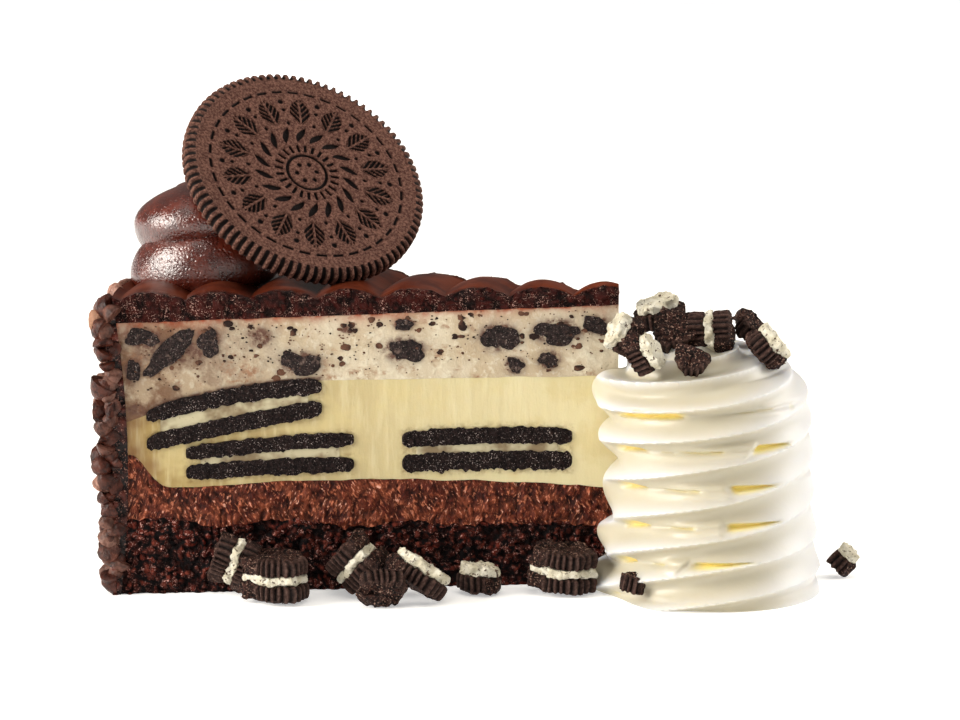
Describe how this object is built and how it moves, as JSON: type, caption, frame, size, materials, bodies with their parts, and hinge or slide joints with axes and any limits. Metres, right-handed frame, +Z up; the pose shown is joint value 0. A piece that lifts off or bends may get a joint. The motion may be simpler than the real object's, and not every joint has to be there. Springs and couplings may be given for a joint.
{
  "type": "cookies and cream cheesecake slice",
  "caption": "Served slice of layered cookies and cream cheesecake with chip-coated rim, piped icing, a leaning cookie, and whipped cream with broken cookies at the tip.",
  "frame": {"origin": "on the flat underside, on the slice's middle line, about half way between its tip and its rim", "axes": "+Z up, +X along the slice's middle line from its rim towards its tip, +Y across it"},
  "size_m": [0.132, 0.058, 0.0874],
  "materials": {
    "crumb_base": "very dark moist chocolate crumb",
    "fudge": "moist reddish-brown grain",
    "cheesecake": "smooth pale yellow cream, satin",
    "mousse": "greyish cream with brown specks",
    "icing": "glossy dark chocolate, granular where cut",
    "chip_coat": "chocolate chips with a matte bloom over glossy dark icing",
    "cookie_face": "dry embossed cocoa biscuit",
    "cookie_wafer": "moist, almost black cocoa biscuit",
    "cookie_filling": "smooth off-white filling",
    "cookie_crumb": "rough broken cocoa biscuit with pale filling",
    "whipped_cream": "soft satin white"
  },
  "bodies": {
    "root": {"crumb_base": "crumb_base", "fudge_layer": "fudge", "cheesecake_layer": "cheesecake", "mousse_layer": "mousse", "icing_top": "icing", "rim_coat": "chip_coat", "frosting_rosette": "icing", "top_cookie": "cookie_face", "whipped_cream": "whipped_cream", "tip_cookie_low_wafer": "cookie_wafer", "tip_cookie_top_wafer": "cookie_wafer", "tip_cookie_filling": "cookie_filling", "lower_cookie_low_wafer": "cookie_wafer", "lower_cookie_top_wafer": "cookie_wafer", "lower_cookie_filling": "cookie_filling", "upper_cookie_low_wafer": "cookie_wafer", "upper_cookie_top_wafer": "cookie_wafer", "upper_cookie_filling": "cookie_filling", "far_cookie_low_wafer": "cookie_wafer", "far_cookie_top_wafer": "cookie_wafer", "far_cookie_filling": "cookie_filling", "near_chunk_1": "cookie_wafer", "near_chunk_2": "cookie_wafer", "near_chunk_3": "cookie_wafer", "near_chunk_4": "cookie_wafer", "near_chunk_5": "cookie_wafer", "near_chunk_6": "cookie_wafer", "near_chunk_7": "cookie_wafer", "near_chunk_8": "cookie_wafer", "near_chunk_9": "cookie_wafer", "near_chunk_10": "cookie_wafer", "near_chunk_11": "cookie_wafer", "near_chunk_12": "cookie_wafer", "far_chunk_1": "cookie_wafer", "far_chunk_2": "cookie_wafer", "far_chunk_3": "cookie_wafer", "far_chunk_4": "cookie_wafer", "far_chunk_5": "cookie_wafer", "cream_crumb_back": "cookie_crumb", "cream_crumb_left": "cookie_crumb", "cream_crumb_front": "cookie_crumb", "cream_crumb_middle": "cookie_crumb", "cream_crumb_upright": "cookie_crumb", "cream_crumb_small": "cookie_crumb", "cream_crumb_right": "cookie_crumb", "cream_crumb_outer": "cookie_crumb", "foot_crumb_flat": "cookie_crumb", "foot_crumb_leaning": "cookie_crumb", "foot_crumb_raised": "cookie_crumb", "foot_crumb_pair": "cookie_crumb", "foot_crumb_edge": "cookie_crumb", "foot_crumb_pale": "cookie_crumb", "foot_crumb_ragged": "cookie_crumb", "stray_crumb_left": "cookie_crumb", "stray_crumb_right": "cookie_crumb"}
  },
  "joints": []
}
